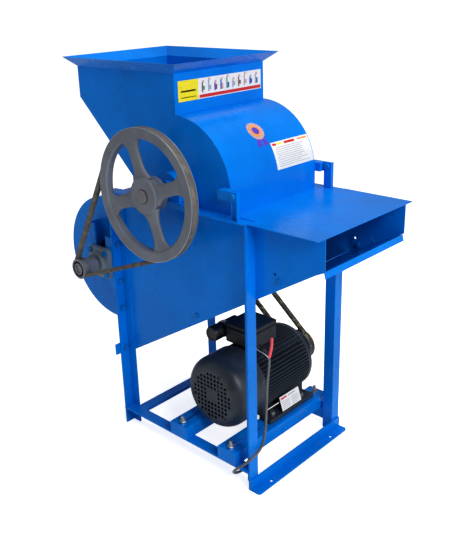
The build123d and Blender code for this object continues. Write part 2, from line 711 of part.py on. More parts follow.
def rounded_tube(points, radius):
    """Straight runs joined by tangent arcs, each as large as its two runs allow."""
    turns = []
    for a, b, c in zip(points, points[1:], points[2:]):
        turn = (b - a).get_angle(c - b)
        bend = 0.45 * min((b - a).length, (c - b).length) / tan(radians(turn / 2))
        turns.append(bend)
    print("cable arc radii", [round(t) for t in turns])
    wire = FilletPolyline(*[tuple(p) for p in points], radius=turns)
    start = Plane(origin=wire @ 0, z_dir=wire % 0)
    tube = sweep(start * Circle(radius), path=wire)
    ratio = tube.volume / (pi * radius**2 * wire.length)
    print("cable tube", round(wire.length), "mm, volume ratio", round(ratio, 3))
    return tube


def motor_cable():
    return rounded_tube([Vector(*p) for p in CABLE_POINTS], CABLE_R)


def cable_coil():
    """The outer shape of the put-away turns: a round ring three layers high."""
    x, y = COIL_CENTRE
    ring = round_z(COIL_MID_R + COIL_BAND, 0, COIL_H, x=x, y=y)
    return ring - round_z(COIL_MID_R - COIL_BAND, -1, COIL_H + 1, x=x, y=y)


def cable_plug():
    """A three-pin plug lying beside the coil, its boot against the coil's outer turn."""
    x, y = COIL_CENTRE[0] - COIL_MID_R - COIL_BAND / 2, COIL_CENTRE[1]
    boot = Pos(x, y - 36, PLUG_Z) * Rot(90, 0, 0) * Cone(6, 9, 28)
    body = fillet(block(x - 22, x + 22, y - 92, y - 48, 0, 2 * PLUG_Z).edges().filter_by(Axis.Y), 8)
    plug = boot + body
    for dx, dz in ((-9, -5), (9, -5), (0, 7)):
        plug += round_y(3, y - 110, y - 90, x=x + dx, z=PLUG_Z + dz)
    return plug


# Fasteners

def bolt_y(x, z, y_head, y_nut, r=5):
    """A hexagon bolt along Y with its nut; y_head is the outer face that its head sits on."""
    out = -1 if y_head < y_nut else 1
    span = sorted((y_head, y_nut))
    bolt = round_y(r, span[0] - 1, span[1] + 1, x=x, z=z)
    heads = [(y_head, out), (y_nut, -out)]
    for y, d in heads:
        a, b = sorted((y, y + d * 1.3 * r))
        bolt += hexagon_y(3.2 * r, a, b, x, z)
    return bolt


def bolt_x(y, z, x_head, x_nut, r=5):
    turned = bolt_y(0, 0, 0, x_nut - x_head, r)
    return Pos(x_head, y, z) * Rot(0, 0, -90) * turned


def bolt_z(x, y, z_head, z_nut, r=5, stub=0):
    turned = bolt_y(0, 0, 0, z_head - z_nut, r)
    if stub:
        turned += round_y(r, z_head - z_nut, z_head - z_nut + stub)
    return Pos(x, y, z_head) * Rot(-90, 0, 0) * turned


def both_sides(bolts):
    return bolts + [far_twin(b) for b in bolts]


def frame_bolts():
    """Bolts that hold the bearings, legs, grain board, flap and hood."""
    near = [bolt_z(ROTOR_X + s * FOOT_BOLT_X, BEARING_Y, RAIL_TOP + 18, LEG_TOP, r=6) for s in (-1, 1)]
    for z in (TIE_BOLT_Z, *BAR_BOLTS_Z):
        near += [bolt_x(LEG_BOLT_Y, z, -FRAME_L + ANGLE_T, -FRAME_L - ANGLE_T)]
    near += [bolt_x(LEG_BOLT_Y, LOOSE_BOLT_Z, -FRAME_L + ANGLE_T, -FRAME_L)]
    near += [bolt_y(FLOOR_BOLT[0], FLOOR_BOLT[1], 0, SHEET, r=4)]
    near += [bolt_y(FLAP_X, FLAP_Z, 0, 2 * SHEET + 2 * FLAP_GAP, r=FLAP_PIN_R)]
    near += [bolt_y(LUG_BOLT[0], LUG_BOLT[1], POST_Y - POST_LIP, POST_Y)]
    for dx in (-FLANGE_BOLT, FLANGE_BOLT):
        for dz in (-FLANGE_BOLT, FLANGE_BOLT):
            near.append(bolt_y(FAN_X + dx, FAN_Z + dz, -ANGLE - 14, -ANGLE + ANGLE_T))
    return both_sides(near)


def motor_bolts():
    """Four bolts through the motor's feet and four clamps that hold its rails down."""
    top = LOWER_RAIL_TOP + RAIL_H
    bolts = [
        bolt_z(MOTOR_X + s * MOTOR_FOOT_X, y, top + 14, top - RAIL_WALL)
        for s in (-1, 1)
        for y in MOTOR_FOOT_Y
    ]
    clamps = [clamp_bolt(x) for x in MOTOR_RAIL_X]
    return bolts + both_sides(clamps)


def clamp_bolt(x):
    """Head under the lower rail, shank through the slot, nut and a standing end on top."""
    z0, z1 = LOWER_RAIL_TOP - ANGLE_T, LOWER_RAIL_TOP + RAIL_H
    bolt = round_z(5, z0 - 1, z1 + 20, x=x, y=CLAMP_Y)
    washer = round_z(11, z1, z1 + 2, x=x, y=CLAMP_Y)
    nut = Pos(0, 0, z1 + 2) * Pos(x, CLAMP_Y, 0) * extrude(RegularPolygon(17 / sqrt(3), 6), amount=8)
    head = Pos(x, CLAMP_Y, z0 - 6.5) * extrude(RegularPolygon(17 / sqrt(3), 6), amount=6.5)
    return bolt + washer + nut + head


def build():
    twins = {
        "leg_front": front_leg(),
        "leg_rear": rear_leg(),
        "lower_rail": lower_rail(),
        "top_rail": top_rail(),
        "side_panel": side_panel(),
        "hood_side": hood_side(),
        "fan_side": fan_side(),
    }
    for name, shape in twins.items():
        save(name + "_near", shape)
        save(name + "_far", far_twin(shape))
    pairs = {
        "hood_posts": hood_post(),
        "hood_lugs": hood_lug(),
        "rotor_bearings": rotor_bearing(),
        "fan_bearings": fan_bearing(),
    }
    for name, shape in pairs.items():
        save(name, Compound([shape, far_twin(shape)]))
    rotor, fan, motor = (ROTOR_X, ROTOR_Z), (FAN_X, FAN_Z), (MOTOR_X, MOTOR_Z)
    singles = {
        "foot_rail": foot_rail(),
        "lower_cross_rail": lower_cross_rail(),
        "rear_tie_bar": rear_tie_bar(),
        "motor_rail_rear": motor_rail(MOTOR_RAIL_X[0]),
        "motor_rail_front": motor_rail(MOTOR_RAIL_X[1]),
        "deck_plate": deck_plate(),
        "duct_floor": duct_floor(),
        "drum_cover": drum_cover(),
        "hopper_front_wall": hopper_front_wall(),
        "hopper_rear_wall": hopper_rear_wall(),
        "hopper_rim": hopper_rim(),
        "sieve": sieve(),
        "delivery_flap": delivery_flap(),
        "fan_scroll": fan_scroll(),
        "rotor_belt": open_belt(rotor, BIG_R, fan, FAN_PULLEY_R, DRIVE_NEAR),
        "motor_belt": open_belt(motor, FAR_PULLEY_R, fan, FAR_PULLEY_R, DRIVE_FAR),
        "main_shaft": main_shaft(),
        "rotor_pulley": big_pulley(),
        "rotor_discs": Compound(rotor_discs()),
        "hammer_pins": Compound(hammer_pins()),
        "fan_shaft": fan_shaft(),
        "fan_impeller": fan_impeller(),
        "fan_pulley_near": plain_pulley(FAN_PULLEY_R, DRIVE_NEAR, FAN_SHAFT_R, 26, -102, -66, *fan),
        "fan_pulley_far": plain_pulley(FAR_PULLEY_R, DRIVE_FAR, FAN_SHAFT_R, 26, 426, 456, *fan),
        "motor_body": motor_body(),
        "motor_end_shield": motor_end_shield(),
        "motor_cowl": motor_cowl(),
        "terminal_box": terminal_box(),
        "capacitor": capacitor(),
        "motor_rotor": motor_rotor(),
        "motor_pulley": plain_pulley(FAR_PULLEY_R, DRIVE_FAR, MOTOR_SHAFT_R, 30, 404, 456, *motor),
        "cooling_fan": cooling_fan(),
        "motor_cable": motor_cable(),
        "cable_coil": cable_coil(),
        "cable_plug": cable_plug(),
        "frame_bolts": Compound(frame_bolts()),
        "motor_bolts": Compound(motor_bolts()),
    }
    bars = fan_bearing_bars()
    singles["fan_bearing_bars"] = Compound(bars + [far_twin(b) for b in bars])
    for name, shape in singles.items():
        save(name, shape)
    for row in ROW_ANGLES:
        save(f"hammer_row_{row}", Compound(hammer_row(row)))


build()
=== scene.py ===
"""Looks of a belt-driven mill: materials, and finer pieces for its pulleys, motor, belts, labels and cord."""

import json
from math import acos, atan2, ceil, cos, degrees, floor, hypot, pi, radians, sin, sqrt

import bmesh
import bpy
from mathutils import Matrix, Vector
from mathutils.geometry import delaunay_2d_cdt


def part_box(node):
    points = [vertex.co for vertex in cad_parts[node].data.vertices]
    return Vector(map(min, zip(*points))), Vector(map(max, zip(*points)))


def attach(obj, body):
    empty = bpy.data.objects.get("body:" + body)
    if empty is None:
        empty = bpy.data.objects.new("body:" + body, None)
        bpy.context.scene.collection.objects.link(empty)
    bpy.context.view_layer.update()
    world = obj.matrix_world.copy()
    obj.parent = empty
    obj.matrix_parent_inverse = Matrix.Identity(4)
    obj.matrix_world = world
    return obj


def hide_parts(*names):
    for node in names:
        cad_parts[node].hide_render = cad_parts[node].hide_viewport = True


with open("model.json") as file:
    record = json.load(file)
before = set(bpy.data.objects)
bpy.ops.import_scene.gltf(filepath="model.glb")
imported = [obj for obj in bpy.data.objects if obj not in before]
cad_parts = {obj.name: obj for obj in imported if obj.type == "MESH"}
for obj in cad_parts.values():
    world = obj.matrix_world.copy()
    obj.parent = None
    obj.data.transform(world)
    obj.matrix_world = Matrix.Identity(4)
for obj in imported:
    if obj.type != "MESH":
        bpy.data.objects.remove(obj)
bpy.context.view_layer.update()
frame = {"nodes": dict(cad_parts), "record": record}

RECORD = frame["record"]
JOINT = {j["name"]: Vector(j["pos_m"]) for j in RECORD["behaviour"]["joints"]}
ROTOR, FAN, MOTOR = JOINT["rotor_spin"], JOINT["fan_spin"], JOINT["motor_spin"]
MM = 0.001
OFF_AXIS = Vector((0.13, 0.37, 0.92))
# The datum of the cord's route and of the labels: front legs' outer faces, near panel's outer face, floor.
DATUM = Vector((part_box("leg_front_near")[1].x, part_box("side_panel_near")[0].y, 0))


def at(x, y, z):
    """A point given in millimetres from the datum."""
    return DATUM + Vector((x, y, z)) * MM


# Shader maths


class Value:
    """A node's output with + - * / and a few shaping steps."""

    def __init__(self, tree, socket):
        self.tree, self.socket = tree, socket

    def math(self, operation, *others, clamp=False):
        node = self.tree.nodes.new("ShaderNodeMath")
        node.operation, node.use_clamp = operation, clamp
        for slot, value in zip(node.inputs, (self, *others)):
            feed(self.tree, slot, value)
        return Value(self.tree, node.outputs[0])

    def __add__(self, other):
        return self.math("ADD", other)

    def __sub__(self, other):
        return self.math("SUBTRACT", other)

    def __mul__(self, other):
        return self.math("MULTIPLY", other)

    def power(self, other):
        return self.math("POWER", other)

    def ramp(self, low, high):
        """0 below low, 1 above high, smooth between."""
        node = self.tree.nodes.new("ShaderNodeMapRange")
        node.interpolation_type = "SMOOTHSTEP"
        feed(self.tree, node.inputs["Value"], self)
        node.inputs["From Min"].default_value = low
        node.inputs["From Max"].default_value = high
        return Value(self.tree, node.outputs["Result"])


def feed(tree, slot, value):
    if isinstance(value, Value):
        tree.links.new(value.socket, slot)
    elif isinstance(value, tuple) and len(value) == 3 and slot.type == "RGBA":
        slot.default_value = (*value, 1)
    else:
        slot.default_value = value


class Surface:
    """A Principled material built up from noise in object coordinates."""

    def __init__(self, name):
        self.material = bpy.data.materials.new(name)
        self.material.use_nodes = True
        self.tree = self.material.node_tree
        self.shader = self.tree.nodes["Principled BSDF"]
        self.where = Value(self.tree, self.tree.nodes.new("ShaderNodeTexCoord").outputs["Object"])

    def noise(self, scale, detail=3, roughness=0.5, stretch=(1, 1, 1)):
        mapping = self.tree.nodes.new("ShaderNodeMapping")
        mapping.inputs["Scale"].default_value = stretch
        feed(self.tree, mapping.inputs["Vector"], self.where)
        node = self.tree.nodes.new("ShaderNodeTexNoise")
        feed(self.tree, node.inputs["Vector"], Value(self.tree, mapping.outputs[0]))
        node.inputs["Scale"].default_value = scale
        node.inputs["Detail"].default_value = detail
        node.inputs["Roughness"].default_value = roughness
        return Value(self.tree, node.outputs[0])

    def cells(self, scale):
        node = self.tree.nodes.new("ShaderNodeTexVoronoi")
        feed(self.tree, node.inputs["Vector"], self.where)
        node.inputs["Scale"].default_value = scale
        return Value(self.tree, node.outputs["Distance"])

    def height(self):
        """The point's own height above the floor, in metres."""
        node = self.tree.nodes.new("ShaderNodeSeparateXYZ")
        feed(self.tree, node.inputs[0], self.where)
        return Value(self.tree, node.outputs["Z"])

    def mix(self, factor, first, second):
        node = self.tree.nodes.new("ShaderNodeMix")
        node.data_type = "RGBA"
        feed(self.tree, node.inputs["Factor"], factor)
        feed(self.tree, node.inputs[6], first)
        feed(self.tree, node.inputs[7], second)
        return Value(self.tree, node.outputs[2])

    def set(self, **inputs):
        for name, value in inputs.items():
            feed(self.tree, self.shader.inputs[name.replace("_", " ")], value)

    def bump(self, height, strength, distance):
        node = self.tree.nodes.new("ShaderNodeBump")
        node.inputs["Strength"].default_value = strength
        node.inputs["Distance"].default_value = distance
        feed(self.tree, node.inputs["Height"], height)
        feed(self.tree, self.shader.inputs["Normal"], Value(self.tree, node.outputs[0]))


# Materials


def enamel(name, deep, light):
    """Brushed-on gloss enamel: faint runs, orange peel, dust low down and small chips."""
    s = Surface(name)
    cloud = s.noise(3.5, 4)
    runs = s.noise(30, 2, stretch=(1, 1, 0.12))
    peel = s.noise(420, 2)
    color = s.mix(cloud.ramp(0.35, 0.7), deep, light)
    color = s.mix(runs.ramp(0.55, 0.8) * 0.16, color, tuple(c * 0.8 for c in deep))
    scuffs = s.noise(46, 6, 0.7).ramp(0.66, 0.74) * s.noise(9, 2).ramp(0.5, 0.66)
    color = s.mix(scuffs * 0.3, color, (0.05, 0.20, 0.46))
    chips = s.noise(95, 5, 0.65).ramp(0.735, 0.75) * s.noise(5, 1).ramp(0.5, 0.6)
    color = s.mix(chips, color, (0.07, 0.055, 0.05))
    dust = (s.height() * -1 + 0.5).ramp(0.3, 0.5) * s.noise(24, 5, 0.65).ramp(0.52, 0.75)
    color = s.mix(dust * 0.12, color, (0.25, 0.31, 0.36))
    s.set(Base_Color=color, Roughness=s.noise(14, 4).ramp(0.2, 0.9) * 0.16 + scuffs * 0.25 + 0.2)
    s.set(Coat_Weight=0.06, Coat_Roughness=0.1, Specular_IOR_Level=0.3, Specular_Tint=(0.05, 0.4, 1.0))
    s.bump(peel * 0.5 + runs * 0.9 + chips * -1.5, 0.12, 0.0012)
    return s.material


def casting(name, dark, pale, grime, rough=0.42, metal=0.1):
    """Painted or bare sand casting with a fine pebbled skin."""
    s = Surface(name)
    color = s.mix(s.noise(16, 5).ramp(0.3, 0.72), dark, pale)
    color = s.mix(s.noise(60, 6, 0.7).ramp(0.56, 0.72) * 0.5, color, grime)
    s.set(Base_Color=color, Metallic=metal, Roughness=s.noise(40, 4).ramp(0.2, 0.9) * 0.25 + rough - 0.1)
    s.bump(s.noise(650, 3) + s.noise(160, 3) * 0.8, 0.28, 0.0012)
    return s.material


def moulding(name, color, rough, grain=900):
    """Moulded plastic or rubber, dusty in places, with a fine grain."""
    s = Surface(name)
    tone = s.mix(s.noise(22, 4).ramp(0.3, 0.8), color, tuple(c * 1.7 + 0.004 for c in color))
    tone = s.mix(s.noise(70, 5, 0.7).ramp(0.62, 0.8) * 0.35, tone, (0.13, 0.125, 0.12))
    s.set(Base_Color=tone, Roughness=s.noise(50, 3) * 0.2 + rough - 0.1)
    s.bump(s.noise(grain, 2), 0.2, 0.0004)
    return s.material


def belting(name, base, mark, marks):
    """Fabric-faced rubber: cross weave, dusty wear and pale rubbed marks."""
    s = Surface(name)
    weave = s.noise(1500, 1) + s.cells(700) * 0.6
    color = s.mix(s.noise(45, 4).ramp(0.3, 0.75), base, tuple(c * 1.8 for c in base))
    worn = s.noise(75, 5, 0.7).ramp(0.5, 0.62) * marks
    color = s.mix(worn, color, mark)
    s.set(Base_Color=color, Roughness=s.noise(60, 2) * 0.15 + 0.68)
    s.bump(weave + s.noise(130, 3) * 0.7, 0.3, 0.0008)
    return s.material


def machined(name, color, rough=0.3):
    s = Surface(name)
    marks = s.noise(500, 3, stretch=(1, 0.06, 1))
    tone = s.mix(s.noise(30, 4).ramp(0.3, 0.8), tuple(c * 0.7 for c in color), color)
    tone = s.mix(s.noise(90, 5, 0.7).ramp(0.6, 0.75) * 0.4, tone, (0.16, 0.10, 0.06))
    s.set(Base_Color=tone, Metallic=0.9, Roughness=marks * 0.15 + rough - 0.05)
    s.bump(marks, 0.15, 0.0005)
    return s.material


def sticker(name, color, tint=0.9):
    """Printed vinyl, a little uneven in tone and slightly lifted."""
    s = Surface(name)
    tone = s.mix(s.noise(120, 4).ramp(0.35, 0.75), color, tuple(c * tint for c in color))
    s.set(Base_Color=tone, Roughness=s.noise(40, 2) * 0.15 + 0.28)
    s.bump(s.noise(70, 2), 0.06, 0.001)
    return s.material


LOOKS = {
    "blue_paint": enamel("blue enamel", (0.0, 0.165, 0.60), (0.0, 0.215, 0.76)),
    "pulley_iron": casting("pulley iron", (0.135, 0.148, 0.178), (0.175, 0.19, 0.225), (0.20, 0.20, 0.205)),
    "bearing_iron": casting("bearing iron", (0.15, 0.20, 0.25), (0.24, 0.30, 0.36), (0.10, 0.11, 0.12),
                            rough=0.5, metal=0.2),
    "belt": belting("near belt", (0.085, 0.078, 0.070), (0.30, 0.28, 0.22), 0.25),
    "motor_black": casting("motor black", (0.022, 0.030, 0.042), (0.032, 0.042, 0.058), (0.07, 0.07, 0.07)),
    "cowl_black": moulding("cowl black", (0.021, 0.029, 0.040), 0.42, 700),
    "box_black": moulding("box black", (0.010, 0.013, 0.018), 0.55),
    "capacitor": moulding("capacitor can", (0.009, 0.009, 0.010), 0.3),
    "steel": machined("turned steel", (0.30, 0.30, 0.31), 0.34),
    "bolt_paint": enamel("bolt enamel", (0.004, 0.13, 0.42), (0.01, 0.20, 0.55)),
    "zinc": machined("zinc plate", (0.66, 0.66, 0.62), 0.32),
    "hammer_steel": machined("rolled steel", (0.28, 0.27, 0.26), 0.5),
    "cord": moulding("cord sheath", (0.095, 0.098, 0.108), 0.45, 1500),
    "plug": moulding("plug body", (0.02, 0.02, 0.022), 0.42),
    "fan_plastic": moulding("fan moulding", (0.015, 0.015, 0.016), 0.5),
}
FAR_BELT = belting("far belt", (0.045, 0.040, 0.034), (0.42, 0.33, 0.12), 0.85)
RED_SLEEVE = moulding("red sleeving", (0.66, 0.07, 0.09), 0.4)
WHITE_WIRE = moulding("pale wire", (0.42, 0.44, 0.46), 0.4)
BEIGE = moulding("beige clamp", (0.42, 0.38, 0.27), 0.5)
DARK = moulding("tie", (0.012, 0.012, 0.012), 0.4)
PRINT = {
    "white": sticker("print white", (0.80, 0.80, 0.79)),
    "yellow": sticker("print yellow", (0.86, 0.72, 0.02)),
    "red": sticker("print red", (0.62, 0.02, 0.03)),
    "orange": sticker("print orange", (0.80, 0.30, 0.05)),
    "grey": sticker("print grey", (0.36, 0.37, 0.42)),
    "blue": sticker("print blue", (0.03, 0.10, 0.42)),
    "violet": sticker("print violet", (0.10, 0.05, 0.50)),
    "rose": sticker("print rose", (0.62, 0.34, 0.30)),
    "brown": sticker("print brown", (0.22, 0.11, 0.07)),
    "green": sticker("print green", (0.10, 0.30, 0.16)),
}


def dress_cad():
    slots = {s["node"]: s["material_slot"] for s in RECORD["subparts"]}
    for name, slot in slots.items():
        obj = frame["nodes"][name]
        obj.data.materials.clear()
        obj.data.materials.append(LOOKS[slot])


# Mesh building


def add_object(name, data):
    obj = bpy.data.objects.new(name, data)
    bpy.context.collection.objects.link(obj)
    return obj


def add_mesh(name, bm, materials):
    """Turns a bmesh into an object with the given materials."""
    mesh = bpy.data.meshes.new(name)
    bm.to_mesh(mesh)
    bm.free()
    for material in materials:
        mesh.materials.append(material)
    return add_object(name, mesh)


def add_piece(name, bm, material, body="root", smooth=40, bevel=0, segments=2):
    """Turns a bmesh into a piece that rides on a body; smooth is the angle that still looks round."""
    bmesh.ops.remove_doubles(bm, verts=bm.verts, dist=1e-6)
    bmesh.ops.recalc_face_normals(bm, faces=bm.faces)
    obj = add_mesh(name, bm, [material])
    if bevel:
        edges = obj.modifiers.new("bevel", "BEVEL")
        edges.width, edges.segments, edges.limit_method = bevel, segments, "ANGLE"
        edges.angle_limit = radians(35)
        edges.harden_normals = True
    obj.data.shade_smooth()
    obj.data.set_sharp_from_angle(angle=radians(smooth))
    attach(obj, body)
    return obj


def loft(bm, rings, closed=False):
    """Skins rings of equal count and caps the ends; closed joins the last ring to the first instead."""
    made = [[bm.verts.new(p) for p in ring] for ring in rings]
    pairs = list(zip(made, made[1:])) + ([(made[-1], made[0])] if closed else [])
    for low, high in pairs:
        for i in range(len(low)):
            j = (i + 1) % len(low)
            bm.faces.new((low[i], low[j], high[j], high[i]))
    if not closed:
        bm.faces.new(made[0])
        bm.faces.new(list(reversed(made[-1])))


def lathe(bm, profile, centre, steps=96, axis="Y"):
    """Turns a closed (radius, along) outline about an axis through centre."""
    rings = []
    for i in range(steps):
        a = 2 * pi * i / steps
        ring = []
        for r, t in profile:
            if axis == "Y":
                ring.append((centre[0] + r * cos(a), t, centre[2] + r * sin(a)))
            else:
                ring.append((t, centre[1] + r * cos(a), centre[2] + r * sin(a)))
        rings.append(ring)
    loft(bm, rings, closed=True)


def arc(cx, cy, r, start, end, steps):
    """Points of an arc, angles in degrees."""
    turn = [radians(start + (end - start) * i / steps) for i in range(steps + 1)]
    return [(cx + r * cos(a), cy + r * sin(a)) for a in turn]


def brick(bm, low, high):
    corners = [(low[0], low[1]), (high[0], low[1]), (high[0], high[1]), (low[0], high[1])]
    loft(bm, [[(x, y, z) for x, y in corners] for z in (low[2], high[2])])


def round_bar(bm, start, end, radius, steps=16):
    """A straight round bar between two points."""
    along = (end - start).normalized()
    side = along.orthogonal().normalized()
    other = along.cross(side)
    turn = [2 * pi * i / steps for i in range(steps)]
    loft(bm, [[p + (side * cos(a) + other * sin(a)) * radius for a in turn] for p in (start, end)])


def tube(bm, points, radius, steps=10):
    """A round tube through points, which never run along OFF_AXIS."""
    turn = [2 * pi * k / steps for k in range(steps)]
    rings = []
    for i, p in enumerate(points):
        along = (points[min(i + 1, len(points) - 1)] - points[max(i - 1, 0)]).normalized()
        side = along.cross(OFF_AXIS).normalized()
        other = along.cross(side)
        rings.append([p + (side * cos(a) + other * sin(a)) * radius for a in turn])
    loft(bm, rings)


def soft_square(a, wide, tall, across, up):
    """A point of a rounded rectangle at angle a; smaller powers across and up are squarer."""
    c, d = cos(a), sin(a)
    return wide * abs(c) ** across * (1 if c > 0 else -1), tall * abs(d) ** up * (1 if d > 0 else -1)


# Pulleys and belts

RIM_HALF = 0.0125
BELT_W, BELT_H = 0.017, 0.011
BELT_SEAT = 0.0016
ARM_COUNT, ARM_TILT = 4, -19


def wheel_profile(radius, rim, y):
    """A V-grooved rim's section, from its inner edge round the lips and the groove."""
    lip, round_in, play = 0.0015, 0.004, 0.0004
    deep = radius - BELT_H - 0.0022
    half_low = BELT_W / 2 - BELT_H * 0.34
    one_side = [
        (radius - rim, RIM_HALF - round_in),
        (radius - rim + round_in, RIM_HALF),
        (radius - lip, RIM_HALF),
        (radius, RIM_HALF - lip),
        (radius, BELT_W / 2 + play),
        (deep, half_low),
    ]
    return [(r, y - d) for r, d in one_side] + [(r, y + d) for r, d in reversed(one_side)]


def pulley_arm(bm, angle, start, end, y):
    """A spoke with a rounded section that swells into the hub and the rim."""
    steps = 14
    turn = Matrix.Rotation(radians(angle), 4, "Y")
    rings = []
    for k in range(steps + 1):
        t = k / steps
        r = start + (end - start) * t
        wide = 0.0185 + 0.017 * max(0, 1 - t / 0.36) ** 2 + 0.024 * max(0, (t - 0.66) / 0.34) ** 2
        thick = 0.0068 + 0.004 * max(0, 1 - t / 0.3) ** 2 + 0.002 * max(0, (t - 0.8) / 0.2) ** 2
        ring = []
        for s in range(20):
            u, v = soft_square(2 * pi * s / 20, wide, thick, 0.55, 0.7)
            ring.append(turn @ Vector((r, v, u)) + Vector((ROTOR.x, y, ROTOR.z)))
        rings.append(ring)
    loft(bm, rings)


def big_pulley():
    low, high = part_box("rotor_pulley")
    radius = (high.x - low.x) / 2
    y = low.y + 0.002 + RIM_HALF
    hub_r, back_r, bore = 0.050, 0.046, 0.0176
    bm = bmesh.new()
    lathe(bm, wheel_profile(radius, 0.029, y), ROTOR, 144)
    hub = [(bore, low.y + 0.002), (bore + 0.002, low.y), (hub_r - 0.003, low.y), (hub_r, low.y + 0.003)]
    hub += [(hub_r, y + 0.006), (back_r + 0.001, y + 0.010)]
    hub += [(back_r, high.y - 0.003), (back_r - 0.003, high.y), (bore, high.y)]
    lathe(bm, hub, ROTOR, 96)
    for i in range(ARM_COUNT):
        pulley_arm(bm, ARM_TILT + 360 / ARM_COUNT * i, 0.040, radius - 0.026, y)
    piece = add_piece("rotor_pulley_casting", bm, LOOKS["pulley_iron"], "rotor", 38)
    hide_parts("rotor_pulley")
    # Bright zinc rings along the rim's two lips: a painted highlight that stands in for the shine on the lip
    # edges.
    bm = bmesh.new()
    edge, inside, slope = radius - 0.0001, radius - 0.0022, 0.0004
    for side in (-1, 1):
        y0, y1 = sorted((y + side * (RIM_HALF - 0.0002), y + side * (RIM_HALF - 0.0022)))
        lathe(bm, [(inside, y0), (edge, y0 + slope), (edge, y1 - slope), (inside, y1)], ROTOR, 144)
    add_piece("rotor_pulley_lip_highlight_rings", bm, LOOKS["zinc"], "rotor", 60)
    bm = bmesh.new()
    half_w, key_low, key_high = 0.004, 0.0185, 0.0245
    brick(bm, (ROTOR.x - half_w, low.y + 0.0005, ROTOR.z + key_low),
          (ROTOR.x + half_w, high.y - 0.004, ROTOR.z + key_high))
    add_piece("rotor_pulley_key", bm, LOOKS["steel"], "rotor", bevel=0.0005)


def small_pulley(name, node, belt_node, centre, body, bore, hub_r):
    """A solid pulley in line with its belt, with a hub and a set screw on the machine's side."""
    low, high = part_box(node)
    radius = (high.x - low.x) / 2
    belt_low, belt_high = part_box(belt_node)
    y = (belt_low.y + belt_high.y) / 2
    bm = bmesh.new()
    lathe(bm, wheel_profile(radius, radius - bore - 0.002, y), centre, 96)
    hub = [(bore, low.y), (hub_r - 0.002, low.y), (hub_r, low.y + 0.002), (hub_r, high.y - 0.002)]
    hub += [(hub_r - 0.002, high.y), (bore, high.y)]
    lathe(bm, hub, centre, 64)
    screw = Vector((centre.x, high.y - 0.012 if y < centre.y else low.y + 0.008, centre.z))
    round_bar(bm, screw, screw + Vector((0, 0, hub_r + 0.004)), 0.004, 6)
    piece = add_piece(name, bm, LOOKS["pulley_iron"], body, 38)
    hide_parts(node)


def belt(name, node, first, first_r, second, second_r, material):
    """A V-belt's loop: a trapezium swept round two pulleys, widest outside."""
    low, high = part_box(node)
    y, half, tall, longest_run = (low.y + high.y) / 2, 0.0084, 0.0108, 0.03
    dx, dz = second.x - first.x, second.z - first.z
    line, lean = atan2(dz, dx), acos((first_r - second_r) / hypot(dx, dz))
    path = []
    around = arc(first.x, first.z, 1, degrees(line + lean), degrees(line - lean) + 360, 72)
    path += [(p, first, first_r) for p in around]
    around = arc(second.x, second.z, 1, degrees(line - lean), degrees(line + lean), 36)
    path += [(p, second, second_r) for p in around]
    section = [(0, -half), (-0.0012, -half), (-tall, -half * 0.62), (-tall, half * 0.62)]
    section += [(-0.0012, half), (0, half), (0.0004, half * 0.5), (0.0004, -half * 0.5)]
    spots = []
    for p, c, r in path:
        out = Vector((p[0] - c.x, 0, p[1] - c.z))
        spots.append((Vector((c.x, y, c.z)) + out * (r - BELT_SEAT), out))
    rings = []
    for (spot, out), (after, out_after) in zip(spots, spots[1:] + spots[:1]):
        steps = max(1, ceil((after - spot).length / longest_run))
        for k in range(steps):
            t = k / steps
            here, way = spot.lerp(after, t), out.lerp(out_after, t).normalized()
            rings.append([here + way * d + Vector((0, w, 0)) for d, w in section])
    bm = bmesh.new()
    loft(bm, rings, closed=True)
    piece = add_piece(name, bm, material, "root", 35)
    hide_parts(node)


def pulleys_and_belts():
    big_pulley()
    small_pulley("fan_pulley_near_casting", "fan_pulley_near", "rotor_belt", FAN, "fan", 0.0126, 0.026)
    small_pulley("fan_pulley_far_casting", "fan_pulley_far", "motor_belt", FAN, "fan", 0.0126, 0.026)
    small_pulley("motor_pulley_casting", "motor_pulley", "motor_belt", MOTOR, "motor_spindle", 0.0141, 0.030)
    belt("rotor_vee_belt", "rotor_belt", ROTOR, 0.178, FAN, 0.0315, LOOKS["belt"])
    belt("motor_vee_belt", "motor_belt", MOTOR, 0.050, FAN, 0.050, FAR_BELT)


# Motor


def hole_places(pitch, inner, outer):
    """Square grid of holes between two radii."""
    count = int(outer / pitch) + 1
    grid = range(-count, count + 1)
    return [(i * pitch, j * pitch) for i in grid for j in grid if inner < hypot(i, j) * pitch < outer]


def perforated_disc(bm, centre, radius, places, hole_r, y0, y1, steps=10):
    """A round plate with through holes, both faces and every wall."""
    around = 96
    points, edges = [], []
    loops = [(0, 0, radius, around)] + [(u, v, hole_r, steps) for u, v in places]
    for u, v, r, count in loops:
        base = len(points)
        points += [Vector(p) for p in arc(u, v, r, 0, 360 * (count - 1) / count, count - 1)]
        edges += [(base + k, base + (k + 1) % count) for k in range(count)]
    flat, _, faces, *_ = delaunay_2d_cdt(points, edges, [], 0, 1e-7)
    sides = []
    for y in (y0, y1):
        sides.append([bm.verts.new((centre.x + p.x, y, centre.z + p.y)) for p in flat])
    for face in faces:
        middle = sum((flat[i] for i in face), Vector((0, 0))) / len(face)
        if any((middle - Vector(p)).length < hole_r * 0.9 for p in places):
            continue
        bm.faces.new([sides[0][i] for i in face])
        bm.faces.new([sides[1][i] for i in reversed(face)])
    for i, j in edges:
        bm.faces.new((sides[0][i], sides[0][j], sides[1][j], sides[1][i]))


